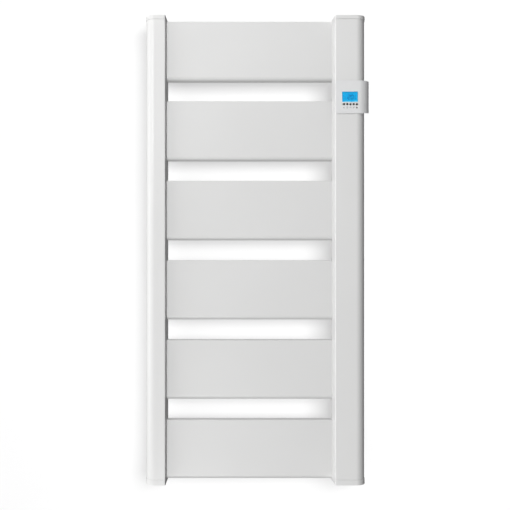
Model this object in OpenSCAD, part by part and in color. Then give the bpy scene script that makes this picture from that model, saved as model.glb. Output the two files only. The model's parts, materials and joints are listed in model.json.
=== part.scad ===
// Wall-hung electric towel radiator: two extruded columns, six flat heated panels
// between them, and a digital control unit wrapped around the right column.
// Origin: centre of the wall screws, on the wall plane.
// +X to the right as seen from the room, -Y out of the wall, +Z up.

/* [Overall] */
// Width over the two columns
overall_w = 500; // [490:1:540]
// Height over the end caps
overall_h = 1070; // [1068:1:1074]
// From the wall to the columns' front faces
depth = 90; // [88:1:100]

/* [Columns] */
// Front width of the left column
left_w = 45; // [44.5:0.5:48]
// Front width of the right column
right_w = 68; // [67:0.5:70]
// How much the right column widens inwards between its front and the panels
right_slant = 4; // [3:0.1:5]
// Depth of both columns
column_d = 55; // [55:1:58]
// Radius of the outer front edge
outer_r = 19; // [17:1:25]
// Radius of the inner front edge
inner_r = 2; // [1:0.5:3]
// Wall of the column extrusions
column_t = 2; // [1.8:0.1:2.2]
// Height of the top caps
top_cap_h = 8.5; // [8:0.5:10]
// Height of the bottom caps
bottom_cap_h = 12; // [11:0.5:12]
// How far a cap stands out past the column's front and outer side
cap_over = 1.2; // [0.8:0.1:1.5]

/* [Panels] */
// Height of one panel
panel_h = 138; // [137:1:139]
// Open gap between two panels
panel_gap = 47; // [46:1:47]
// Thickness of a panel
panel_t = 20; // [20:0.5:21]
// From the columns' front to the panels' front
panel_recess = 34; // [33:0.5:34]
// Radius of a panel's lower front edge
panel_bottom_r = 10; // [8:0.5:10]
// Radius of a panel's upper front edge
panel_top_r = 2.5; // [2.2:0.1:4]
// Wall of the panel extrusion
panel_wall = 1.8; // [1.6:0.1:2]

/* [Control unit] */
// Height of the control unit
unit_h = 74.8; // [74:0.2:78]
// Height of its centre above the origin
unit_z = 348.4; // [345:0.2:352]
// How far it stands out past the column's outer side
unit_side = 9.5; // [9:0.5:14]
// Width of its curved edge
unit_curve = 23; // [20:1:27]
// How far its face stands proud of the column
unit_proud = 1.8; // [1.8:0.1:2.2]
// Depth of the part that wraps the column's side
unit_d = 42; // [42:1:46]
// Radius of its curved edge
unit_r = 26; // [24:1:33]
// Slope of its foot, which rises towards the wall
foot_slope = 12; // [11.5:0.5:12.5]
// Width of the display window
window_w = 36.2; // [35:0.1:37]
// Height of the display window
window_h = 23.9; // [22:0.1:24]
// Spacing of the keys
key_pitch = 7.28; // [7:0.1:7.3]
// Radius of a key's head
key_r = 2.3; // [2:0.1:2.3]
// How far a key can be pressed
key_travel = 0.6; // [0.3:0.1:0.8]

/* [Wall brackets] */
// Bracket centres from the middle of the radiator
bracket_x = 226; // [224:0.5:227]
// Bracket centres above and below the middle
bracket_z = 440; // [430:1:445]
// Wall screw holes above and below a bracket's centre
bracket_hole_z = 25; // [22:1:26]
// Radius of a wall screw hole
wall_hole_r = 2.75; // [2.5:0.05:3]

/* [Hidden] */
$fn = 64;
panel_count = 6;
key_count = 5;
bracket_count = 4;
gap = 0.3;                  // play between pieces that do not bear on each other
snug = 0.05;                // radial play of a screw or pin in its own hole
past = 1;                   // how far a cutting shape runs past the face that it cuts

front_y = -depth;
back_y = front_y + column_d;
panel_y = front_y + panel_recess;
panel_mid_y = panel_y + panel_t / 2;
panel_pitch = panel_h + panel_gap;
left_x = -overall_w / 2 + left_w;
right_x = overall_w / 2 - right_w - right_slant;
column_z0 = -overall_h / 2 + bottom_cap_h;
column_z1 = overall_h / 2 - top_cap_h;

// Rear slot of a column, measured from the column's outer side
slot_u = overall_w / 2 - bracket_x;
slot_w = 26;

// Panel extrusion: a heater channel in the middle and a screw port near each edge
port_z = 50;
port_web = 4.5;
channel_web = 7.5;
channel_r = 5.1;
screw_r = 2;
element_r = 4.9;
element_end = 8;            // how far an element reaches into the right column
pin_l = 4;
seal_r = 8;

// Wiring in the right column
loom_x = right_x + 16;
loom_r = 3;
terminal_z = -486;
terminal_x = 194;
terminal_size = [30, 16, 18];
cutout_z = 25;              // thermal cut-out above the lowest panel's middle
earth_z = -28;              // earth stud below the lowest panel's middle
gland_x = 222;
gland_y = front_y + 28;
gland_r = 4;
gland_flange_h = 3;

// End caps
cap_plate_top = 3;
cap_plate_bottom = 6;
spigot_h = 6;
spigot_t = 1.6;

// Wall brackets and hooks
plate_size = [32, 70, 3.5];
tube_r = 10;
tube_end = 29;
shaft_r = 7;
shaft_end = 8;
lock_y = -18;
hook_t = 3;
hook_w = 34;

// Control unit, measured from the column's outer side (u), its front (v) and unit_z
unit_wall = 2;
unit_inner = right_w - 1;
cut_u = 61;
cut_v = 38.3;
cut_h = 70;
sill_u = 6;
tray_u = [3.5, 60.5];
tray_v = [8, 37.3];
tray_h = 69;
tray_wall = 1.6;
window_u = 34.9;
window_z = 0.2;
key_u = 19.35;
key_z = -16.6;
board_u = [9, 57.5];
board_v = 5.8;
board_t = 1.6;
board_h = 54;
boss_r = 2.3;
board_bosses = [[12, 23], [54, 23], [12, -23], [54, -23]];
power_v = 27;
clamp_u = slot_u;
clamp_z = 29.9;
clamp_r = 2.6;
clamp_end = 35.6;
light_at = [53.4, -17];
switch_size = 6;
switch_v = 2.3;
switch_floor = 0.6;         // under the plunger hole of a key's switch
stem_r = 1.45;
key_out = 0.8;              // how far a key stands out of the face
key_flange_t = 0.8;

WHITE = [0.92, 0.92, 0.91];
ALU = [0.78, 0.79, 0.8];
STEEL = [0.7, 0.7, 0.72];
DARK = [0.12, 0.12, 0.13];
BOARD = [0.1, 0.36, 0.2];
BLUE = [0.08, 0.62, 0.86];

function numbered(name, n) = [for (i = [1 : n]) str(name, i)];

// ---- Places ----

// Height of a panel's middle, counted from the top
function panel_z(i) = (panel_count + 1 - 2 * i) / 2 * panel_pitch;

// Bracket centres: 1 and 2 at the top, 3 and 4 below, odd ones on the left
function bracket_at(i) = [(i % 2 == 1 ? -1 : 1) * bracket_x, 0, (i <= 2 ? 1 : -1) * bracket_z];

function side_w(side) = side < 0 ? left_w : right_w;
function side_slant(side) = side < 0 ? 0 : right_slant;

// A column's own frame: u from its outer side inwards, v from its front backwards
module at_side(side) {
    translate([side * overall_w / 2, front_y, 0])
        mirror([side > 0 ? 1 : 0, 0, 0])
            children();
}

module at_unit() {
    at_side(1) translate([0, 0, unit_z]) children();
}

// Children drawn along +Z are turned to run from the front to the back
module backwards(u, v, z) {
    translate([u, v, z]) rotate([-90, 0, 0]) children();
}

// Children drawn along +Z are placed at every panel screw of one side, running into the panel
module at_panel_screws(side) {
    x = side < 0 ? left_x - column_t : right_x + column_t;
    for (i = [1 : panel_count], s = [-1, 1])
        translate([x, panel_mid_y, panel_z(i) + s * port_z])
            rotate([0, -side * 90, 0])
                children();
}

// ---- Shared shapes ----

// A rectangle with its own radius at each corner, anticlockwise from the origin
module round_rect(w, h, r) {
    polygon([
        [r[0], 0], [w - r[1], 0], [w, r[1]], [w, h - r[2]],
        [w - r[2], h], [r[3], h], [0, h - r[3]], [0, r[0]]
    ]);
    translate([r[0], r[0]]) circle(r = r[0]);
    translate([w - r[1], r[1]]) circle(r = r[1]);
    translate([w - r[2], h - r[2]]) circle(r = r[2]);
    translate([r[3], h - r[3]]) circle(r = r[3]);
}

module round_block(size, r) {
    linear_extrude(size.z)
        translate([-size.x / 2, -size.y / 2])
            round_rect(size.x, size.y, [r, r, r, r]);
}

// The quarter disc that rounds an outer front edge
module front_quarter(low, centre, r) {
    intersection() {
        translate(centre) circle(r = r);
        translate(low) square(centre - low);
    }
}

// A pan-head screw along +Z with its head's underside at the origin
module screw(r, l, head_r, head_h) {
    socket_r = head_r * 0.5;
    cylinder(h = l, r = r);
    difference() {
        translate([0, 0, -head_h]) cylinder(h = head_h, r = head_r);
        translate([0, 0, -head_h - past]) cylinder(h = head_h / 2 + past, r = socket_r, $fn = 6);
    }
}

// A straight round piece between two points
module rod(a, b, r) {
    d = b - a;
    translate(a)
        rotate([0, acos(d.z / norm(d)), atan2(d.y, d.x)])
            cylinder(h = norm(d), r = r);
}

// ---- Columns ----

// Outline of a column; over grows its front and outer side for the caps
module column_outline(side, over = 0) {
    w = side_w(side);
    slant = side_slant(side);
    run = [slant, panel_recess + over];
    cut = inner_r / tan((90 + atan(run.x / run.y)) / 2);
    polygon([
        [outer_r, -over],
        [w - cut, -over],
        [w, -over] + run * cut / norm(run),
        [w + slant, panel_recess],
        [w + slant, column_d],
        [-over, column_d],
        [-over, outer_r]
    ]);
    front_quarter([-over, -over], [outer_r, outer_r], outer_r + over);
    translate([w - cut, inner_r - over]) circle(r = inner_r);
}

// The inside of a column, drawn in from its outline
module column_hollow(side, inset) {
    w = side_w(side) - inset;
    slant = side_slant(side);
    polygon([
        [outer_r, inset],
        [w, inset],
        [w + slant, panel_recess],
        [w + slant, column_d - inset],
        [inset, column_d - inset],
        [inset, outer_r]
    ]);
    front_quarter([inset, inset], [outer_r, outer_r], outer_r - inset);
}

module column_profile(side) {
    difference() {
        column_outline(side);
        column_hollow(side, column_t);
        translate([slot_u - slot_w / 2, column_d - column_t - past])
            square([slot_w, column_t + 2 * past]);
    }
}

module column(side) {
    difference() {
        at_side(side)
            translate([0, 0, column_z0])
                linear_extrude(column_z1 - column_z0)
                    column_profile(side);
        at_panel_screws(side)
            translate([0, 0, -past])
                cylinder(h = column_t + 2 * past, r = screw_r + gap);
    }
}

module left_column() {
    color(WHITE) column(-1);
}

module right_column() {
    color(WHITE) difference() {
        column(1);
        for (i = [1 : panel_count])
            translate([right_x - past, panel_mid_y, panel_z(i)])
                rotate([0, 90, 0])
                    cylinder(h = column_t + 2 * past, r = seal_r);
        at_unit() difference() {
            translate([-past, -past, -cut_h / 2])
                cube([cut_u + past, cut_v + past, cut_h]);
            outer_sill();
        }
    }
}

// Keeps the column's outer side closed below the control unit's sloping foot
module outer_sill() {
    back = cut_v + past;
    translate([-2 * past, 0, 0]) rotate([90, 0, 90])
        linear_extrude(sill_u + 2 * past)
            polygon([[0, -unit_h], [0, foot(0) + gap], [back, foot(back) + gap], [back, -unit_h]]);
}

// A cap along +Z, with its column's end at z = 0 and its spigot below
module cap(side, h, plate) {
    difference() {
        linear_extrude(h) column_outline(side, cap_over);
        translate([0, 0, -past])
            linear_extrude(h - plate + past)
                column_hollow(side, column_t + gap + spigot_t);
    }
    translate([0, 0, -spigot_h])
        linear_extrude(spigot_h + past)
            difference() {
                column_hollow(side, column_t + gap);
                column_hollow(side, column_t + gap + spigot_t);
            }
}

module top_cap(side) {
    color(WHITE) at_side(side) translate([0, 0, column_z1]) cap(side, top_cap_h, cap_plate_top);
}

module bottom_cap(side) {
    at_side(side)
        translate([0, 0, column_z0])
            mirror([0, 0, 1])
                cap(side, bottom_cap_h, cap_plate_bottom);
}

module left_bottom_cap() {
    color(WHITE) bottom_cap(-1);
}

module right_bottom_cap() {
    color(WHITE) difference() {
        bottom_cap(1);
        translate([gland_x, gland_y, -overall_h / 2 - past]) {
            cylinder(h = bottom_cap_h + 2 * past, r = gland_r + 3);
            cylinder(h = gland_flange_h + past, r = gland_r + 5.2);
        }
    }
}

// Strip that closes a column's rear slot, cut away around the two hooks
module rear_cover(side) {
    strip_w = slot_w + 6;
    strip_t = 1.4;
    rib_w = slot_w - 2 * gap;
    end = spigot_h + 2;
    color(WHITE) difference() {
        at_side(side)
            translate([slot_u, column_d - column_t, column_z0 + end])
                linear_extrude(column_z1 - column_z0 - 2 * end) {
                    translate([-strip_w / 2, -strip_t]) square([strip_w, strip_t]);
                    translate([-rib_w / 2, -strip_t]) square([rib_w, strip_t + column_t]);
                }
        for (s = [-1, 1])
            translate([side * bracket_x, back_y - column_t, s * bracket_z])
                cube([strip_w + 2 * past, 4 * column_t, 44], center = true);
    }
}

// ---- Panels ----

module panel_band(low, high) {
    translate([0, low]) square([panel_t, high - low]);
}

// Extruded profile, x from front to back and y upwards
module panel_profile() {
    mid = panel_h / 2;
    low = [mid - port_z - port_web, mid - port_z + port_web, mid - channel_web];
    high = [mid + channel_web, mid + port_z - port_web, mid + port_z + port_web];
    inner = [panel_bottom_r - panel_wall, 1.2, 1.2, panel_top_r - panel_wall / 2];
    difference() {
        round_rect(panel_t, panel_h, [panel_bottom_r, 3, 3, panel_top_r]);
        intersection() {
            translate([panel_wall, panel_wall])
                round_rect(panel_t - 2 * panel_wall, panel_h - 2 * panel_wall, inner);
            union() {
                panel_band(0, low[0]);
                panel_band(low[1], low[2]);
                panel_band(high[0], high[1]);
                panel_band(high[2], panel_h);
            }
        }
        translate([panel_t / 2, mid]) circle(r = channel_r);
        for (s = [-1, 1])
            translate([panel_t / 2, mid + s * port_z]) circle(r = screw_r + snug);
    }
}

module panel(i) {
    color(WHITE)
        translate([left_x, panel_y, panel_z(i) - panel_h / 2])
            rotate([90, 0, 90])
                linear_extrude(right_x - left_x)
                    panel_profile();
}

module heating_element(i) {
    start = left_x + 10;
    color(STEEL) translate([start, panel_mid_y, panel_z(i)]) rotate([0, 90, 0]) {
        cylinder(h = right_x + element_end - start, r = element_r);
        cylinder(h = right_x + element_end + pin_l - start, r = 1.2);
    }
}

module element_seals() {
    color([0.75, 0.3, 0.2])
        for (i = [1 : panel_count])
            translate([right_x, panel_mid_y, panel_z(i)])
                rotate([0, 90, 0])
                    difference() {
                        union() {
                            cylinder(h = column_t + 2, r = seal_r - 2 * snug);
                            translate([0, 0, column_t]) cylinder(h = 2, r = seal_r + 0.7);
                        }
                        translate([0, 0, -past]) cylinder(h = 2 * seal_r, r = element_r + snug);
                    }
}

module panel_screws() {
    color(STEEL)
        for (side = [-1, 1])
            at_panel_screws(side) screw(screw_r, 16, 4, 2.4);
}

// ---- Wiring in the right column ----

module wiring_loom() {
    lowest = panel_z(panel_count);
    corner = [loom_x, panel_mid_y, terminal_z];
    turn = corner + [25, 0, 0];
    terminal_back = front_y + column_t + terminal_size.y;
    color(DARK) {
        rod(corner, [loom_x, panel_mid_y, panel_z(1)], loom_r);
        for (i = [1 : panel_count])
            rod(
                [right_x + element_end + pin_l, panel_mid_y, panel_z(i)],
                [loom_x, panel_mid_y, panel_z(i)],
                1.6
            );
        translate([loom_x, panel_mid_y, panel_z(1)]) sphere(r = loom_r);
        translate(corner) sphere(r = loom_r);
        rod(corner, turn, 2.2);
        translate(turn) sphere(r = 2.2);
        rod(turn, [turn.x, terminal_back, turn.z], 2.2);
        rod([loom_x, panel_mid_y, unit_z], [loom_x, front_y + tray_v[1], unit_z], 1.8);
        rod([right_x + 7, panel_mid_y, lowest + cutout_z], [loom_x, panel_mid_y, lowest + cutout_z], 1.2);
        rod([right_x + 4.5, panel_mid_y, lowest + earth_z + 9],
            [loom_x, panel_mid_y, lowest + earth_z + 9], 1.2);
    }
}

// Clipped to the inside of the column's front wall
module terminal_block() {
    ways = 3;
    pitch = terminal_size.x / ways;
    color([0.9, 0.88, 0.82])
        translate([terminal_x, front_y + column_t, terminal_z - terminal_size.z / 2])
            difference() {
                cube(terminal_size);
                for (i = [0 : ways - 1]) {
                    translate([(i + 0.5) * pitch, terminal_size.y * 0.6, -past])
                        cylinder(h = 7, r = 2.4);
                    translate([(i + 0.5) * pitch, terminal_size.y * 0.4, terminal_size.z - 5])
                        cylinder(h = 5 + past, r = 2.6);
                }
            }
}

module thermal_cutout() {
    size = [12, 22, 5];
    color(DARK)
        translate([right_x + column_t, panel_mid_y, panel_z(panel_count) + cutout_z])
            rotate([90, 0, 90])
                round_block(size, 2);
}

module earth_stud() {
    color(STEEL)
        translate([right_x + column_t, panel_mid_y, panel_z(panel_count) + earth_z])
            rotate([0, 90, 0]) {
                cylinder(h = 1.5, r = 5);
                cylinder(h = 8, r = 2.5);
            }
}

// Nut, with the ring terminal that it clamps
module earth_nut() {
    lug_t = 1;
    color([0.8, 0.65, 0.3])
        translate([right_x + column_t + 1.5, panel_mid_y, panel_z(panel_count) + earth_z])
            difference() {
                union() {
                    rotate([0, 90, 0]) cylinder(h = lug_t, r = 5.5);
                    translate([0, -2.5, 0]) cube([lug_t, 5, 11]);
                    translate([lug_t, 0, 0]) rotate([0, 90, 0]) cylinder(h = 4, r = 4.6, $fn = 6);
                }
                translate([-past, 0, 0]) rotate([0, 90, 0]) cylinder(h = 9, r = 2.5 + snug);
            }
}

module cable_gland() {
    neck = bottom_cap_h - 2 * gap;
    nut_z = cap_plate_bottom;
    color(WHITE)
        translate([gland_x, gland_y, -overall_h / 2])
            difference() {
                union() {
                    cylinder(h = gland_flange_h, r = gland_r + 5);
                    cylinder(h = neck, r = gland_r + 2.9);
                    translate([0, 0, nut_z]) cylinder(h = neck - nut_z, r = gland_r + 5.5);
                }
                translate([0, 0, -past]) cylinder(h = neck + 2 * past, r = gland_r);
            }
}

// ---- Wall brackets ----

module wall_bracket(i) {
    color(WHITE) translate(bracket_at(i)) difference() {
        union() {
            rotate([90, 0, 0]) round_block(plate_size, 6);
            rotate([90, 0, 0]) cylinder(h = tube_end, r = tube_r);
        }
        translate([0, -plate_size.z, 0])
            rotate([90, 0, 0])
                cylinder(h = tube_end, r = shaft_r + 2 * snug);
        for (s = [-1, 1])
            translate([0, past, s * bracket_hole_z])
                rotate([90, 0, 0])
                    cylinder(h = plate_size.z + 2 * past, r = wall_hole_r);
        translate([0, lock_y, -tube_r - past])
            cylinder(h = tube_r - shaft_r + past + 2 * snug, r = screw_r + snug);
    }
}

// T-headed pin: the head and the collar grip the column's rear lips
module column_hook(i) {
    color(ALU) translate(bracket_at(i) + [0, back_y, 0]) {
        translate([0, -column_t, 0]) rotate([90, 0, 0]) round_block([hook_w, 20, hook_t], 2);
        translate([0, 0, 0]) rotate([90, 0, 0]) round_block([20, 14, column_t + past], 2);
        translate([0, 2, 0]) rotate([90, 0, 0]) round_block([hook_w, 24, 2], 2);
        rotate([-90, 0, 0]) cylinder(h = -back_y - shaft_end, r = shaft_r);
    }
}

module bracket_lock_screws() {
    color(STEEL)
        for (i = [1 : bracket_count])
            translate(bracket_at(i) + [0, lock_y, -tube_r - 2])
                screw(screw_r, tube_r + 2 - shaft_r - snug, 3.4, 2.4);
}

// ---- Control unit ----

module unit_outline(inset) {
    low = [inset - unit_side, inset - unit_proud];
    centre = [unit_curve - unit_side, unit_r - unit_proud];
    polygon([
        [centre.x, low.y],
        [unit_inner - inset, low.y],
        [unit_inner - inset, unit_d - inset],
        [low.x, unit_d - inset],
        [low.x, centre.y]
    ]);
    front_quarter(low, centre, unit_r - inset);
}

// Height of the sloping foot at depth v
function foot(v) = (v + unit_proud) * tan(foot_slope) - unit_h / 2;

module unit_block(inset) {
    front = inset - unit_proud;
    back = unit_d - inset;
    top = unit_h / 2 - inset;
    intersection() {
        linear_extrude(unit_h, center = true) unit_outline(inset);
        translate([-unit_side - past, 0, 0]) rotate([90, 0, 90])
            linear_extrude(unit_side + unit_inner + 2 * past)
                polygon([
                    [front, top],
                    [front, foot(front) + inset],
                    [back, foot(back) + inset],
                    [back, top]
                ]);
    }
}

// Wrap-around shell before it is drilled
module fascia_shell() {
    difference() {
        unit_block(0);
        unit_block(unit_wall);
        linear_extrude(unit_h + 2 * past, center = true) {
            column_outline(1, gap);
            translate([outer_r, -gap]) square([unit_inner, unit_d + 2 * past]);
        }
        translate([board_u[0] + 3, -gap, -cut_h / 2]) cube([unit_inner, unit_d, cut_h]);
    }
}

module window_block(grow, v, t) {
    size = [window_w + 2 * grow, window_h + 2 * grow];
    translate([window_u, v + t, window_z])
        rotate([90, 0, 0])
            round_block([size.x, size.y, t], 1.5);
}

module unit_fascia() {
    vent = [5, 1.5];
    plate = unit_proud - gap;
    color(WHITE) at_unit() {
        difference() {
            fascia_shell();
            window_block(0, -unit_proud - past, unit_proud + 2 * past);
            for (i = [1 : key_count])
                backwards(key_u + (i - 1) * key_pitch, -unit_proud - past, key_z)
                    cylinder(h = plate + 2 * past, r = key_r + 0.2);
            backwards(light_at.x, -unit_proud - past, light_at.y)
                cylinder(h = plate + 2 * past, r = 1 + 2 * snug);
            for (i = [0 : 3]) {
                vent_v = 24 + i * 4;
                vent_top = foot(vent_v + vent.y) + unit_wall + past;
                translate([-unit_side + 2.5, vent_v, -unit_h / 2])
                    cube([vent.x, vent.y, vent_top + unit_h / 2]);
            }
        }
        for (b = board_bosses)
            backwards(b.x, -gap - snug, b.y) boss(board_v + gap + snug, boss_r, 1.05, 5);
        for (s = [-1, 1])
            backwards(clamp_u, -gap - snug, s * clamp_z)
                boss(clamp_end + gap + snug, clamp_r, 1.3, 14);
    }
}

// A screw boss along +Z with a blind hole in its end
module boss(l, r, hole_r, hole_l) {
    difference() {
        cylinder(h = l, r = r);
        translate([0, 0, l - hole_l]) cylinder(h = hole_l + past, r = hole_r);
    }
}

// Rear housing inside the column, with hooks behind the column's front wall
module unit_tray() {
    size = [tray_u[1] - tray_u[0], tray_h, tray_v[1] - tray_v[0]];
    inside = size - [2 * tray_wall, 2 * tray_wall, 0];
    mid = (tray_u[0] + tray_u[1]) / 2;
    hook_v = column_t + gap;
    loom_u = overall_w / 2 - loom_x;
    post_v = tray_v[1] - tray_wall / 2;
    color(DARK) at_unit() {
        difference() {
            backwards(mid, tray_v[0], 0) round_block(size, 3);
            backwards(mid, tray_v[0] - past, 0) round_block(inside + [0, 0, past - tray_wall], 2);
            for (s = [-1, 1])
                backwards(clamp_u, tray_v[1] - 3, s * clamp_z) cylinder(h = 5, r = 1.7);
            backwards(loom_u, tray_v[1] - 3, 0) cylinder(h = 5, r = 2.2);
        }
        for (b = board_bosses)
            translate([b.x, post_v, b.y])
                rotate([90, 0, 0])
                    boss(post_v - power_v - board_t, boss_r, 1.05, 5);
        for (s = [-1, 1]) {
            translate([30, hook_v, s * (tray_h / 2 - 1.4) - 1.4]) cube([16, tray_v[0], 2.8]);
            translate([30, hook_v, s * (tray_h / 2 + 1) - 1.5]) cube([16, 2, 3]);
        }
    }
}

module unit_screws() {
    color(STEEL) at_unit()
        for (s = [-1, 1])
            translate([clamp_u, tray_v[1], s * clamp_z])
                rotate([90, 0, 0])
                    screw(1.25, 13, 3, 2);
}

module display_lens() {
    color(BLUE) at_unit() {
        difference() {
            window_block(-0.15, 0.2 - unit_proud, unit_proud - 0.2);
            window_block(-3, -2 * unit_proud, unit_proud + 0.4);
        }
        window_block(1.2, -gap + snug, 0.8);
    }
}

module display() {
    color([0.1, 0.5, 0.7]) at_unit() window_block(1.5, 0.6, 2.4);
}

module backlight() {
    color([0.95, 0.96, 0.97]) at_unit() window_block(1.2, 3, board_v - 3);
}

// A circuit board with a screw hole over each boss
module circuit_board(v) {
    mid = (board_u[0] + board_u[1]) / 2;
    difference() {
        backwards(mid, v, 0) round_block([board_u[1] - board_u[0], board_h, board_t], 1);
        for (b = board_bosses)
            backwards(b.x, v - past, b.y) cylinder(h = board_t + 2 * past, r = 1.2);
    }
}

module control_board() {
    color(BOARD) at_unit() circuit_board(board_v);
}

module power_board() {
    color(BOARD) at_unit() circuit_board(power_v);
}

module board_screws() {
    color(STEEL) at_unit()
        for (b = board_bosses) {
            translate([b.x, board_v + board_t, b.y]) rotate([90, 0, 0]) screw(1, 5, 2, 1.4);
            backwards(b.x, power_v, b.y) screw(1, 5, 2, 1.4);
        }
}

module microcontroller() {
    color(DARK) at_unit() backwards(30, board_v + board_t, 4) round_block([10, 10, 1.5], 0.5);
}

module key_switches() {
    color(DARK) at_unit()
        for (i = [1 : key_count])
            difference() {
                backwards(key_u + (i - 1) * key_pitch, switch_v, key_z)
                    round_block([switch_size, switch_size, board_v - switch_v], 0.5);
                backwards(key_u + (i - 1) * key_pitch, switch_v - past, key_z)
                    cylinder(h = board_v - switch_floor - switch_v + past, r = stem_r + 0.08);
            }
}

module relay() {
    color([0.15, 0.35, 0.6]) at_unit() translate([16, power_v - 12.5, 0]) cube([16, 12.5, 18]);
}

module supply_capacitor() {
    color([0.85, 0.7, 0.15]) at_unit() translate([16, power_v - 14, -19]) cube([18, 14, 9]);
}

module smoothing_capacitors() {
    color(DARK) at_unit()
        for (z = [-14, 0, 14])
            backwards(41, power_v - 13, z) cylinder(h = 13, r = 4.5);
}

module board_link() {
    color(DARK) at_unit()
        translate([50, board_v + board_t, -10])
            cube([2.5, power_v - board_v - board_t, 20]);
}

// Clear light pipe through the face, with its lamp on the board
module status_light() {
    color([0.6, 0.9, 0.6]) at_unit() {
        backwards(light_at.x, 0.1 - unit_proud, light_at.y)
            cylinder(h = board_v + unit_proud - 0.1, r = 1);
        backwards(light_at.x, board_v - 2, light_at.y) cylinder(h = 2, r = 1.6);
    }
}

// Temperature probe standing on the floor of the wrapped side, beside the vents
module room_sensor() {
    probe_r = 2;
    probe_v = 19;
    color(DARK) at_unit()
        translate([-unit_side / 2, probe_v, foot(probe_v + probe_r) + unit_wall]) {
            cylinder(h = 7, r = probe_r);
            translate([0, 0, 7]) sphere(r = probe_r);
        }
}

// A key: its head in the face, a flange that keeps it in, and the stem in its switch
module key(i) {
    u = key_u + (i - 1) * key_pitch;
    head_l = key_out + unit_proud + key_flange_t;
    stem_end = board_v - switch_floor - key_travel - past;
    color([0.2, 0.2, 0.21]) at_unit() {
        backwards(u, -unit_proud - key_out, key_z) cylinder(h = head_l, r = key_r);
        backwards(u, 0, key_z) cylinder(h = key_flange_t, r = key_r + 0.65);
        backwards(u, 0, key_z) cylinder(h = stem_end, r = stem_r);
    }
}

// ---- The radiator ----

left_column();
right_column();
top_cap(-1);  // left_top_cap
left_bottom_cap();
top_cap(1);  // right_top_cap
right_bottom_cap();
rear_cover(-1);  // left_rear_cover
rear_cover(1);  // right_rear_cover
for (i = [1 : panel_count]) {
    panel(i);
    heating_element(i);
}
element_seals();
panel_screws();
wiring_loom();
terminal_block();
thermal_cutout();
earth_stud();
earth_nut();
cable_gland();
for (i = [1 : bracket_count]) {
    wall_bracket(i);
    column_hook(i);
}
bracket_lock_screws();
unit_fascia();
unit_tray();
unit_screws();
display_lens();
display();
backlight();
control_board();
microcontroller();
key_switches();
board_screws();
power_board();
relay();
supply_capacitor();
smoothing_capacitors();
board_link();
status_light();
room_sensor();
for (i = [1 : key_count])
    key(i);
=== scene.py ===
"""White electric towel radiator with a digital control unit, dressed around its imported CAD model."""

import json
import math

import bmesh
import bpy
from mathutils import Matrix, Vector

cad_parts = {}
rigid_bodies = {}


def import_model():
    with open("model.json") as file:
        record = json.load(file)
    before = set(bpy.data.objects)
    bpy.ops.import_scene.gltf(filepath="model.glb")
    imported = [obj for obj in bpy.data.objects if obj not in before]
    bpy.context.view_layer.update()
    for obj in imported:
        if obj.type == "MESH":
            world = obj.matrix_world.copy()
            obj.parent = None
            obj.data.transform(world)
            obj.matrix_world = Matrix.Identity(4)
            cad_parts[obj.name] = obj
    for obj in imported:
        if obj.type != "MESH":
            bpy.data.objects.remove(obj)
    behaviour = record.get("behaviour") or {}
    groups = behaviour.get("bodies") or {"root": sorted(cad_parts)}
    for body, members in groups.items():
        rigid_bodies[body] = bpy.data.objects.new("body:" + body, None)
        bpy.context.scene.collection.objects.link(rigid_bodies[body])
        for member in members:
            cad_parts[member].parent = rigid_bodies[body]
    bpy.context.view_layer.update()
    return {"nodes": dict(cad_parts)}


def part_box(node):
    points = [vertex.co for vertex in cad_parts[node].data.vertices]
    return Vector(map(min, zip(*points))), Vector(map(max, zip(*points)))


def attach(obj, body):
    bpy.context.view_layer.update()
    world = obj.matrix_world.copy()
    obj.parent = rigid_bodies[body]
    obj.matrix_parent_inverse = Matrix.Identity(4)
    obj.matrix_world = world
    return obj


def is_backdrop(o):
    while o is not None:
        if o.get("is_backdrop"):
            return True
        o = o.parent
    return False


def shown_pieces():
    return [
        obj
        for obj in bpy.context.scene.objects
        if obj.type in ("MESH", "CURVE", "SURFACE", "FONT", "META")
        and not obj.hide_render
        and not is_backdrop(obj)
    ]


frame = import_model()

MM = 0.001
NODES = frame["nodes"]
RADIATOR = "radiator"
KEYS = ["key_1", "key_2", "key_3", "key_4", "key_5"]
MIX_A, MIX_B, MIX_RESULT = 6, 7, 2  # a Mix node's colour sockets


# ---- Shader helpers ----

def srgb(r, g, b):
    """A linear colour from 8-bit display values."""
    values = [v / 255 for v in (r, g, b)]
    linear = [v / 12.92 if v <= 0.04045 else ((v + 0.055) / 1.055) ** 2.4 for v in values]
    return (*linear, 1.0)


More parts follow.
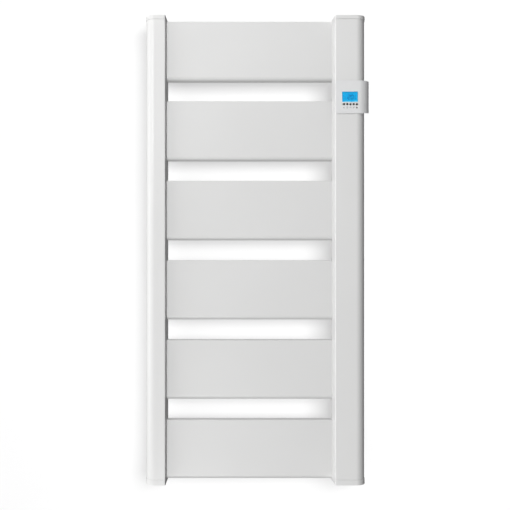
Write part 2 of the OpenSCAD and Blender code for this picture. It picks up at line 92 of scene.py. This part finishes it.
class Shader:
    """A Principled material and the few node patterns that this scene uses."""

    def __init__(self, name, **sockets):
        self.material = bpy.data.materials.new(name)
        self.material.use_nodes = True
        self.tree = self.material.node_tree
        self.main = self.tree.nodes["Principled BSDF"]
        self.place = self.node("ShaderNodeTexCoord").outputs["Object"]
        for socket, value in sockets.items():
            self.main.inputs[socket.replace("_", " ")].default_value = value

    def node(self, kind, **inputs):
        made = self.tree.nodes.new(kind)
        for socket, value in inputs.items():
            self.feed(made.inputs[socket.replace("_", " ")], value)
        return made

    def feed(self, socket, value):
        if isinstance(value, bpy.types.NodeSocket):
            self.tree.links.new(value, socket)
        else:
            socket.default_value = value

    def noise(self, scale, detail=2.0, rough=0.5, stretch=None):
        place = self.place
        if stretch:
            place = self.node("ShaderNodeMapping", Vector=place, Scale=stretch).outputs["Vector"]
        made = self.node("ShaderNodeTexNoise", Vector=place, Scale=scale, Detail=detail, Roughness=rough)
        return made.outputs["Fac"]

    def spread(self, value, low, high, start=0.3, end=0.7):
        made = self.node("ShaderNodeMapRange", Value=value)
        made.inputs["From Min"].default_value = start
        made.inputs["From Max"].default_value = end
        made.inputs["To Min"].default_value = low
        made.inputs["To Max"].default_value = high
        return made.outputs["Result"]

    def ramp(self, value, *stops):
        made = self.node("ShaderNodeValToRGB", Fac=value)
        line = made.color_ramp
        while len(line.elements) < len(stops):
            line.elements.new(0.5)
        for element, (place, colour) in zip(line.elements, stops):
            element.position = place
            element.color = colour
        return made.outputs["Color"]

    def bump(self, height, depth, strength=1.0, under=None):
        made = self.node("ShaderNodeBump", Strength=strength, Distance=depth, Height=height)
        if under:
            self.tree.links.new(under, made.inputs["Normal"])
        return made.outputs["Normal"]

    def math(self, operation, a, b):
        made = self.tree.nodes.new("ShaderNodeMath")
        made.operation = operation
        self.feed(made.inputs[0], a)
        self.feed(made.inputs[1], b)
        return made.outputs["Value"]

    def blend(self, factor, a, b):
        made = self.tree.nodes.new("ShaderNodeMix")
        made.data_type = "RGBA"
        self.feed(made.inputs["Factor"], factor)
        self.feed(made.inputs[MIX_A], a)
        self.feed(made.inputs[MIX_B], b)
        return made.outputs[MIX_RESULT]

    def set(self, socket, value):
        self.feed(self.main.inputs[socket], value)
        return self


def powder_coat(name, light, dark, low=0.34, high=0.46):
    """Sprayed and baked paint: a fine orange peel, and a tone that drifts very slightly."""
    s = Shader(name, Specular_IOR_Level=0.5, Coat_Weight=0.12, Coat_Roughness=0.2)
    s.set("Base Color", s.ramp(s.noise(5.0, 3.0), (0.3, dark), (0.7, light)))
    s.set("Roughness", s.spread(s.noise(60.0, 4.0), low, high))
    peel = s.bump(s.noise(750.0, 3.0, 0.55), 0.00006, 0.35)
    s.set("Normal", s.bump(s.noise(140.0, 2.0), 0.0001, 0.12, peel))
    return s.material


def moulded(name, light, dark, low=0.3, high=0.42, grain=1600.0, depth=0.00004):
    """Injection-moulded plastic with a fine spark-eroded grain."""
    s = Shader(name, Specular_IOR_Level=0.5)
    s.set("Base Color", s.ramp(s.noise(35.0, 3.0), (0.3, dark), (0.7, light)))
    s.set("Roughness", s.spread(s.noise(200.0, 4.0), low, high))
    s.set("Normal", s.bump(s.noise(grain, 2.0, 0.6), depth, 0.4))
    return s.material


def metal(name, light, dark, low=0.22, high=0.4, stretch=(1.0, 1.0, 1.0), grain=900.0):
    """Bare metal with a drawn or turned grain along one axis."""
    s = Shader(name, Metallic=1.0)
    lines = s.noise(grain, 4.0, 0.6, stretch)
    s.set("Base Color", s.ramp(lines, (0.3, dark), (0.7, light)))
    s.set("Roughness", s.spread(lines, low, high))
    s.set("Normal", s.bump(lines, 0.00003, 0.3))
    return s.material


# ---- Stage ----

def sheet(name, corners):
    """One flat four-cornered face."""
    mesh = bpy.data.meshes.new(name)
    mesh.from_pydata(corners, [], [(0, 1, 2, 3)])
    made = bpy.data.objects.new(name, mesh)
    bpy.context.scene.collection.objects.link(made)
    made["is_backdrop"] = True
    made.visible_diffuse = False
    made.visible_glossy = False
    made.visible_shadow = False
    return made


def pale_matt(name, colour, dark):
    s = Shader(name, Specular_IOR_Level=0.1, Roughness=0.9)
    s.set("Base Color", s.ramp(s.noise(2.0, 3.0), (0.3, dark), (0.7, colour)))
    s.set("Normal", s.bump(s.noise(220.0, 3.0), 0.0004, 0.2))
    return s


def wall_material():
    """Pale matt paint, seen only from the room's side."""
    s = pale_matt("wall_paint", (0.9, 0.9, 0.9, 1), (0.88, 0.88, 0.88, 1))
    clear = s.node("ShaderNodeBsdfTransparent")
    mix = s.node("ShaderNodeMixShader", Fac=s.node("ShaderNodeNewGeometry").outputs["Backfacing"])
    s.tree.links.new(s.main.outputs["BSDF"], mix.inputs[1])
    s.tree.links.new(clear.outputs["BSDF"], mix.inputs[2])
    s.tree.links.new(mix.outputs["Shader"], s.tree.nodes["Material Output"].inputs["Surface"])
    return s.material


FLOOR_Z = -0.72
WALL_Y = 0.001       # just behind the brackets' pads
HALF_W = 4           # half of the stage's width
WALL_TOP = 3
HALF_DEPTH = 5       # half of the floor's depth
wall = sheet("wall", [
    (-HALF_W, WALL_Y, FLOOR_Z), (HALF_W, WALL_Y, FLOOR_Z),
    (HALF_W, WALL_Y, WALL_TOP), (-HALF_W, WALL_Y, WALL_TOP),
])
wall.data.materials.append(wall_material())
floor = sheet("floor", [
    (-HALF_W, -HALF_DEPTH, FLOOR_Z), (HALF_W, -HALF_DEPTH, FLOOR_Z),
    (HALF_W, HALF_DEPTH, FLOOR_Z), (-HALF_W, HALF_DEPTH, FLOOR_Z),
])
floor_paint = pale_matt("floor_paint", (0.86, 0.86, 0.86, 1), (0.84, 0.84, 0.84, 1))
floor.data.materials.append(floor_paint.material)


# ---- Camera ----

camera = bpy.data.objects.new("camera", bpy.data.cameras.new("camera"))
camera.data.lens = 50
camera.data.sensor_width = 36
camera.location = (-0.0009, -1.7015, -0.011)
camera.rotation_euler = (math.pi / 2, 0, 0)
bpy.context.scene.collection.objects.link(camera)
bpy.context.scene.camera = camera


# ---- Materials of the CAD nodes ----

def dress(material, *names):
    for name in names:
        node = NODES[name]
        node.data.materials.clear()
        node.data.materials.append(material)


def numbered(name, count):
    return [f"{name}_{i}" for i in range(1, count + 1)]


def grey(value):
    return (value, value, value, 1)


def rubber(name, light, dark, low=0.5, high=0.7):
    s = Shader(name, Specular_IOR_Level=0.35, Sheen_Weight=0.1)
    s.set("Base Color", s.ramp(s.noise(90.0, 3.0), (0.3, dark), (0.7, light)))
    s.set("Roughness", s.spread(s.noise(300.0, 3.0), low, high))
    s.set("Normal", s.bump(s.noise(1200.0, 3.0), 0.00006, 0.4))
    return s.material


def braided_sleeve():
    """Woven glass sleeving over the element wires: two sets of slanted strands."""
    s = Shader("braided_sleeve", Roughness=0.7, Specular_IOR_Level=0.25)
    strands = []
    for turn in (0.8, -0.8):
        place = s.node("ShaderNodeMapping", Vector=s.place, Rotation=(0, turn, 0)).outputs["Vector"]
        wave = s.node("ShaderNodeTexWave", Vector=place, Scale=420.0, Distortion=0.6, Detail=1.0)
        strands.append(wave.outputs["Fac"])
    weave = s.math("MAXIMUM", *strands)
    s.set("Base Color", s.ramp(weave, (0.2, grey(0.015)), (0.9, grey(0.05))))
    s.set("Normal", s.bump(weave, 0.00012, 0.6))
    return s.material


def printed_board():
    """Green solder mask with copper tracks faintly raised under it."""
    s = Shader("printed_board", Roughness=0.32, Coat_Weight=0.3, Coat_Roughness=0.15)
    place = s.node("ShaderNodeMapping", Vector=s.place, Rotation=(math.pi / 2, 0, 0)).outputs["Vector"]
    cells = s.node("ShaderNodeTexBrick", Vector=place, Scale=140.0)
    cells.inputs["Mortar Size"].default_value = 0.08
    cells.inputs["Bias"].default_value = -0.2
    tracks = cells.outputs["Fac"]
    s.set("Base Color", s.ramp(tracks, (0.3, (0.012, 0.11, 0.045, 1)), (0.7, (0.03, 0.2, 0.08, 1))))
    s.set("Normal", s.bump(tracks, 0.00004, 0.5))
    return s.material


def clear_part(name, tint, rough_low, rough_high, clearness=1.0):
    """Clear moulded plastic whose polish varies a little."""
    s = Shader(name, Transmission_Weight=clearness, IOR=1.4)
    s.set("Base Color", s.ramp(s.noise(40.0, 2.0), (0.3, tint), (0.7, tuple(1.03 * v for v in tint))))
    s.set("Roughness", s.spread(s.noise(150.0, 2.0), rough_low, rough_high))
    return s.material


def display_face():
    """Lit blue glass. Its light darkens round its edge as painted shade from the window's rim, and a
    paler band along its foot is a painted highlight.
    """
    s = Shader("lit_display", Roughness=0.25)
    low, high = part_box("display_lens")
    axes = s.node("ShaderNodeSeparateXYZ", Vector=s.place).outputs
    mid = (low + high) / 2
    off_x = s.math("ABSOLUTE", s.math("SUBTRACT", axes["X"], mid.x), 0.0)
    # Painted shade: the emission darkens towards the sides and the top, standing in for the shade of the
    # window's rim
    edge_x = s.spread(off_x, 0.0, 1.0, WINDOW[0] / 2 - 2.4 * MM, WINDOW[0] / 2 - 0.4 * MM)
    top = WINDOW_Z + WINDOW[1] / 2
    edge_z = s.spread(axes["Z"], 0.0, 1.0, top - 2.6 * MM, top - 0.6 * MM)
    edge = s.math("MAXIMUM", edge_x, edge_z)
    # Painted highlight: a pale band along the foot, its height wavering along its length
    foot_highlight_wave = s.node("ShaderNodeTexNoise", Vector=s.place, Scale=170.0, Detail=1.0).outputs["Fac"]
    foot_highlight_reach = s.spread(foot_highlight_wave, 1.8 * MM, 4.2 * MM)
    foot = WINDOW_Z - WINDOW[1] / 2
    above = s.math("SUBTRACT", axes["Z"], foot)
    painted_foot_highlight = s.math("SUBTRACT", 1.0, s.math("MINIMUM", s.math("DIVIDE", above, foot_highlight_reach), 1.0))
    field = s.ramp(s.noise(60.0, 2.0), (0.3, srgb(8, 175, 226)), (0.7, srgb(16, 189, 235)))
    shaded = s.blend(edge, field, srgb(60, 160, 192))
    s.set("Base Color", (0.01, 0.06, 0.1, 1))
    s.set("Emission Color", s.blend(painted_foot_highlight, shaded, srgb(215, 255, 255)))
    s.set("Emission Strength", 1.0)
    return s.material


WHITE = (0.82, 0.82, 0.815, 1)
WHITE_2 = (0.8, 0.8, 0.795, 1)
WINDOW = (36.2 * MM, 23.9 * MM)
WINDOW_Z = sum(c.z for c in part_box("display_lens")) / 2
FACE_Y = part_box("unit_fascia")[0].y

fascia_plastic = moulded("white_fascia_plastic", (0.83, 0.835, 0.84, 1), (0.81, 0.815, 0.82, 1))
FINISHES = [
    (powder_coat("white_powder_coat", WHITE, WHITE_2),
     ["left_column", "right_column", *numbered("panel", 6), *numbered("wall_bracket", 4)]),
    (moulded("white_cap_plastic", WHITE, WHITE_2),
     ["left_top_cap", "left_bottom_cap", "right_top_cap", "right_bottom_cap", "cable_gland"]),
    (moulded("white_cover_plastic", grey(0.76), grey(0.73), 0.45, 0.6),
     ["left_rear_cover", "right_rear_cover"]),
    (fascia_plastic, ["unit_fascia"]),
    (moulded("black_plastic", grey(0.03), grey(0.018)),
     ["unit_tray", "key_switches", "board_link", "thermal_cutout", "room_sensor"]),
    (moulded("key_plastic", grey(0.045), grey(0.03), 0.16, 0.26, 2400.0, 0.00001), KEYS),
    (metal("zinc_plated_steel", grey(0.72), grey(0.5)),
     ["panel_screws", "unit_screws", "board_screws", "bracket_lock_screws", "earth_stud"]),
    (metal("drawn_sheath", grey(0.6), grey(0.42), stretch=(0.03, 1, 1)), numbered("heating_element", 6)),
    (metal("mill_aluminium", grey(0.78), grey(0.62), stretch=(1, 0.04, 1)), numbered("column_hook", 4)),
    (metal("turned_brass", (0.78, 0.58, 0.26, 1), (0.6, 0.42, 0.16, 1)), ["earth_nut"]),
    (rubber("red_silicone", (0.5, 0.1, 0.06, 1), (0.38, 0.07, 0.04, 1)), ["element_seals"]),
    (braided_sleeve(), ["wiring_loom"]),
    (moulded("cream_polyamide", (0.72, 0.66, 0.5, 1), (0.66, 0.6, 0.44, 1)), ["terminal_block"]),
    (printed_board(), ["control_board", "power_board"]),
    (moulded("chip_epoxy", grey(0.03), grey(0.02), 0.5, 0.7, 3000.0), ["microcontroller"]),
    (moulded("relay_case", (0.02, 0.09, 0.32, 1), (0.015, 0.07, 0.26, 1), 0.2, 0.3), ["relay"]),
    (moulded("film_capacitor", (0.7, 0.46, 0.03, 1), (0.62, 0.4, 0.02, 1), 0.25, 0.35),
     ["supply_capacitor"]),
    (moulded("capacitor_sleeve", (0.02, 0.02, 0.05, 1), (0.012, 0.012, 0.03, 1), 0.2, 0.3),
     ["smoothing_capacitors"]),
    (moulded("milky_diffuser", grey(0.88), grey(0.82), 0.3, 0.4), ["backlight"]),
    (display_face(), ["display"]),
    (clear_part("tinted_window", (0.45, 0.82, 0.95, 1), 0.02, 0.06), ["display_lens"]),
    (clear_part("frosted_light_pipe", (0.85, 0.95, 0.85, 1), 0.2, 0.35, 0.35), ["status_light"]),
]
for finish, names in FINISHES:
    dress(finish, *names)


# ---- Softened edges of the CAD nodes ----

def soften(name, width, segments=3):
    """A small round along a node's sharp edges."""
    node = NODES[name]
    weld = node.modifiers.new("weld", "WELD")
    weld.merge_threshold = 0.000001
    bevel = node.modifiers.new("bevel", "BEVEL")
    bevel.limit_method = "ANGLE"
    bevel.angle_limit = math.radians(40)
    bevel.width = width
    bevel.segments = segments
    bevel.use_clamp_overlap = True
    node.modifiers.new("normals", "WEIGHTED_NORMAL").weight = 80


for name in ["left_top_cap", "right_top_cap", "left_bottom_cap", "right_bottom_cap"]:
    soften(name, 0.5 * MM)
for name in ["unit_fascia", *numbered("wall_bracket", 4), *numbered("column_hook", 4)]:
    soften(name, 0.35 * MM)
for name in KEYS:
    soften(name, 0.7 * MM, 4)
soften("display_lens", 0.25 * MM)


# ---- New pieces ----

INK_T = 0.03 * MM  # thickness of the print and of the display's figures
LINE = 0.9         # width of the down arrow's line, in millimetres


def piece(name, mesh, material, body=RADIATOR):
    mesh.materials.append(material)
    made = bpy.data.objects.new(name, mesh)
    bpy.context.scene.collection.objects.link(made)
    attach(made, body)
    return made


def mesh_of(work, name):
    """Turns finished work into a mesh whose faces look outwards."""
    bmesh.ops.recalc_face_normals(work, faces=work.faces)
    mesh = bpy.data.meshes.new(name)
    work.to_mesh(mesh)
    work.free()
    return mesh


def print_mesh(name, outlines, face_y):
    """Flat shapes on a face that looks towards -Y. An outline is a loop of (x, z) in millimetres."""
    work = bmesh.new()
    for outline in outlines:
        base = [work.verts.new((x * MM, face_y, z * MM)) for x, z in outline]
        face = work.faces.new(base)
        if face.normal.y > 0:
            face.normal_flip()
        grown = bmesh.ops.extrude_face_region(work, geom=[face])["geom"]
        moved = [v for v in grown if isinstance(v, bmesh.types.BMVert)]
        bmesh.ops.translate(work, verts=moved, vec=(0, -INK_T, 0))
    return mesh_of(work, name)


def disc(x, z, r, count=24):
    return [(x + r * math.cos(2 * math.pi * i / count), z + r * math.sin(2 * math.pi * i / count))
            for i in range(count)]


def stroke(points, width):
    """A line of even width through points, square at its ends."""
    sides = ([], [])
    for i, (x, z) in enumerate(points):
        before, after = points[max(i - 1, 0)], points[min(i + 1, len(points) - 1)]
        run = Vector((after[0] - before[0], after[1] - before[1])).normalized()
        for side, sign in zip(sides, (1, -1)):
            side.append((x - sign * run.y * width / 2, z + sign * run.x * width / 2))
    return sides[0] + sides[1][::-1]


def arc(x, z, r, start, end, width, count=20):
    """Part of a ring, with its ends given in degrees."""
    angles = [math.radians(start + (end - start) * i / count) for i in range(count + 1)]
    return stroke([(x + r * math.cos(a), z + r * math.sin(a)) for a in angles], width)


# Lit bars: top, upper left, upper right, middle, lower left, lower right, foot
SEGMENTS = {
    "0": (1, 1, 1, 0, 1, 1, 1),
    "2": (1, 0, 1, 1, 1, 0, 1),
    "5": (1, 1, 0, 1, 0, 1, 1),
}


def bar(a, b, width):
    """One bar of a seven-bar figure, pointed at both ends."""
    run = Vector(b) - Vector(a)
    along = run.normalized() * width / 2
    across = Vector((-along.y, along.x))
    a, b = Vector(a) + along * 0.3, Vector(b) - along * 0.3
    corners = [a, a + along + across, b - along + across, b, b - along - across, a + along - across]
    return [tuple(c) for c in corners]


def ring(x, z, r, width):
    return [arc(x, z, r, 0, 180, width), arc(x, z, r, 180, 360, width)]


def figure(digit, x, z, width, height, thick):
    """A seven-bar figure with its lower left corner at (x, z); it leans a little to the right."""
    places = [
        ((0, 1), (1, 1)), ((0, 0.5), (0, 1)), ((1, 0.5), (1, 1)), ((0, 0.5), (1, 0.5)),
        ((0, 0), (0, 0.5)), ((1, 0), (1, 0.5)), ((0, 0), (1, 0)),
    ]
    made = []
    for lit, (a, b) in zip(SEGMENTS[digit], places):
        if lit:
            ends = [(x + p[0] * width + p[1] * height * 0.08, z + p[1] * height) for p in (a, b)]
            made.append(bar(*ends, thick))
    return made


def heat_waves(x, z, width, height, thick):
    """Three rising wavy lines."""
    steps = 12
    sway = 0.3
    lines = []
    for i in (-1, 0, 1):
        middle = x + i * width / 2
        points = [(middle + sway * math.sin(row * math.pi / 3), z + row * height / steps)
                  for row in range(steps + 1)]
        lines.append(stroke(points, thick))
    return lines


def ink(name, light, dark):
    s = Shader(name, Roughness=0.5, Specular_IOR_Level=0.4)
    s.set("Base Color", s.ramp(s.noise(2500.0, 2.0), (0.35, dark), (0.6, light)))
    s.set("Normal", s.bump(s.noise(4000.0, 2.0), 0.00001, 0.3))
    return s.material


def lcd_ink(name, colour, strength):
    """A darkened segment, with the display's light still coming through it."""
    s = Shader(name, Roughness=0.3)
    s.set("Base Color", (0.004, 0.03, 0.06, 1))
    s.set("Emission Color", s.ramp(s.noise(800.0, 2.0), (0.3, colour), (0.7, colour)))
    s.set("Emission Strength", strength)
    return s.material


key_places = [sum(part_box(key), Vector()) / 2 / MM for key in KEYS]
key_z = key_places[0].z
icon_z = key_z - 7.4
xs = [place.x for place in key_places]
light_place = sum(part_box("status_light"), Vector()) / 2 / MM

# From right to left: up, down, heat, clock, standby, then the mark beside the status light
icons = [
    [(xs[0] - 2.4, icon_z - 1.8), (xs[0] + 2.4, icon_z - 1.8), (xs[0], icon_z + 2.2)],
    stroke([(xs[1] - 1.9, icon_z + 1.5), (xs[1], icon_z - 1.5), (xs[1] + 1.9, icon_z + 1.5)], LINE),
    *heat_waves(xs[2], icon_z - 1.6, 3.0, 3.2, 0.4),
    *ring(xs[3], icon_z, 1.7, 0.4),
    stroke([(xs[3], icon_z + 1.2), (xs[3], icon_z), (xs[3] + 0.9, icon_z - 0.5)], 0.35),
    arc(xs[4], icon_z - 0.2, 1.5, 130, 410, 0.4),
    stroke([(xs[4], icon_z), (xs[4], icon_z + 1.9)], 0.4),
    arc(light_place.x, light_place.z, 1.8, -75, 75, 0.5),
]
icon_ink = ink("grey_print", grey(0.1), grey(0.06))
piece("key_icons", print_mesh("key_icons", icons, FACE_Y), icon_ink)

display_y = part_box("display")[0].y
middle_x = sum(c.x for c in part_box("display_lens")) / 2 / MM
reading_z = WINDOW_Z / MM - 4.9
reading = [
    *figure("2", middle_x - 4.9, reading_z, 4.8, 9.4, 1.5),
    *figure("0", middle_x + 2.2, reading_z, 4.8, 9.4, 1.5),
    disc(middle_x + 9.0, reading_z + 0.2, 0.55),
    *figure("5", middle_x + 10.4, reading_z, 2.8, 5.2, 0.8),
    *ring(middle_x + 12.2, reading_z + 8.0, 0.9, 0.45),
]
main_ink = lcd_ink("lcd_figures", srgb(0, 88, 160), 0.8)
piece("display_reading", print_mesh("display_reading", reading, display_y), main_ink)

tick_count = 24
tick_xs = [middle_x - 14 + i * 1.2 for i in range(tick_count)]
small = [stroke([(x, reading_z + 13.0), (x, reading_z + 14.4)], 0.5) for x in tick_xs]
small += heat_waves(middle_x - 11.5, reading_z + 1.2, 3.4, 4.6, 0.5)
small += ring(middle_x + 14.2, reading_z + 10.8, 1.3, 0.4)
faint_ink = lcd_ink("lcd_symbols", srgb(10, 146, 205), 1.0)
piece("display_symbols", print_mesh("display_symbols", small, display_y), faint_ink)


def rounded_loop(width, height, r, count=8):
    """Corner-rounded rectangle about the origin, as (x, z) points."""
    loop = []
    for turn, (sx, sz) in enumerate(((1, 1), (-1, 1), (-1, -1), (1, -1))):
        centre = (sx * (width / 2 - r), sz * (height / 2 - r))
        for i in range(count + 1):
            a = math.pi / 2 * (turn + i / count)
            loop.append((centre[0] + r * math.cos(a), centre[1] + r * math.sin(a)))
    return loop


def window_lip():
    """The low rounded lip that the face carries round its window."""
    arch = 8
    wide, tall = 0.9 * MM, 0.35 * MM
    rings = []
    work = bmesh.new()
    for i in range(arch + 1):
        a = math.pi * i / arch
        grow = wide / 2 * (1 - math.cos(a))
        loop = rounded_loop(WINDOW[0] + 2 * grow, WINDOW[1] + 2 * grow, 1.5 * MM + grow)
        y = FACE_Y - tall * math.sin(a)
        rings.append([work.verts.new((middle_x * MM + x, y, WINDOW_Z + z)) for x, z in loop])
    rings.append(rings[0])
    for a, b in zip(rings, rings[1:]):
        for i in range(len(a)):
            j = (i + 1) % len(a)
            work.faces.new((a[i], a[j], b[j], b[i]))
    for face in work.faces:
        face.smooth = True
    return mesh_of(work, "window_lip")


# The glossy lip is a paler white than the face round it: a painted highlight round the window
glossy_lip_with_painted_highlight = moulded("polished_lip_with_painted_highlight", grey(0.93), grey(0.91), 0.12, 0.2, 2400.0, 0.00001)
piece("window_lip", window_lip(), glossy_lip_with_painted_highlight)


# ---- Light ----

def group_of(name, members):
    group = bpy.data.collections.new(name)
    for member in members:
        group.objects.link(member)
    return group


AIM = Vector((0, -0.05, 0))


def soft_light(name, azimuth, elevation, distance, size, power, lit, shadows):
    """A rectangular lamp aimed at the radiator. lit: what it lights; shadows: what casts its shadows."""
    data = bpy.data.lights.new(name, "AREA")
    data.shape = "RECTANGLE"
    data.size, data.size_y = size
    data.energy = power
    light = bpy.data.objects.new(name, data)
    a, e = math.radians(azimuth), math.radians(elevation)
    away = Vector((math.sin(a) * math.cos(e), -math.cos(a) * math.cos(e), math.sin(e)))
    light.location = AIM + away * distance
    light.rotation_euler = away.to_track_quat("Z", "Y").to_euler()
    bpy.context.scene.collection.objects.link(light)
    light.light_linking.receiver_collection = lit
    light.light_linking.blocker_collection = shadows


everything = group_of("everything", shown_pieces())
panels = group_of("panels", [NODES[name] for name in numbered("panel", 6)])
uprights = group_of("uprights", [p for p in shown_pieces() if p.name not in panels.objects])
left_side = group_of("left_side", [p for p in uprights.objects if p.name.startswith("left_")])
right_side = group_of("right_side", [p for p in uprights.objects if p.name not in left_side.objects])
room = group_of("room", [wall, floor])
floor_only = group_of("floor_only", [floor])

LAMPS = [  # name, azimuth, elevation, distance, size, watts, what it lights, what casts its shadows
    ("low_front", -20, -40, 2.6, (1.4, 1.0), 20.0, uprights, everything),
    ("high_front", -10, 50, 2.6, (1.4, 1.0), 15.0, uprights, everything),
    ("left_strip", -80, 5, 2.2, (0.8, 2.2), 10.8, left_side, everything),
    ("left_strip_far", -80, 5, 2.2, (0.8, 2.2), 19.0, right_side, everything),
    ("left_front", -30, 20, 2.6, (0.8, 0.8), 18.0, uprights, everything),
    ("panels_low", -20, -40, 2.6, (1.4, 1.0), 20.0, panels, floor_only),
    ("panels_high", -10, 50, 2.6, (1.4, 1.0), 15.0, panels, floor_only),
    ("panels_front", -35, 20, 2.6, (0.8, 0.8), 22.0, panels, floor_only),
    ("wall_wash", 20, 9, 8.0, (5.0, 5.0), 350.0, room, everything),
    ("wall_fill", 0, 0, 8.0, (4.8, 4.8), 300.0, room, floor_only),
    ("rear_fill", 180, 10, 3.0, (2.0, 2.0), 24.0, everything, everything),
]
for lamp in LAMPS:
    soft_light(*lamp)
# The wall does not hide the rear lamp from reflections, so the lamp itself is kept out of them
bpy.data.objects["rear_fill"].visible_glossy = False
# These bounce no light to their neighbours
for name in numbered("panel", 6) + ["right_column"]:
    NODES[name].visible_diffuse = False


def side_lit_world(left, right):
    """Even grey surroundings whose strength runs from left to right."""
    world = bpy.data.worlds.new("world")
    world.use_nodes = True
    tree = world.node_tree
    axes = tree.nodes.new("ShaderNodeSeparateXYZ")
    tree.links.new(tree.nodes.new("ShaderNodeTexCoord").outputs["Generated"], axes.inputs["Vector"])
    slope = tree.nodes.new("ShaderNodeMapRange")
    slope.inputs["From Min"].default_value = -1
    slope.inputs["To Min"].default_value = left
    slope.inputs["To Max"].default_value = right
    tree.links.new(axes.outputs["X"], slope.inputs["Value"])
    tree.links.new(slope.outputs["Result"], tree.nodes["Background"].inputs["Strength"])
    tree.nodes["Background"].inputs["Color"].default_value = grey(1)
    return world


bpy.context.scene.world = side_lit_world(left=0.55, right=0.05)
bpy.context.scene.view_settings.view_transform = "Standard"
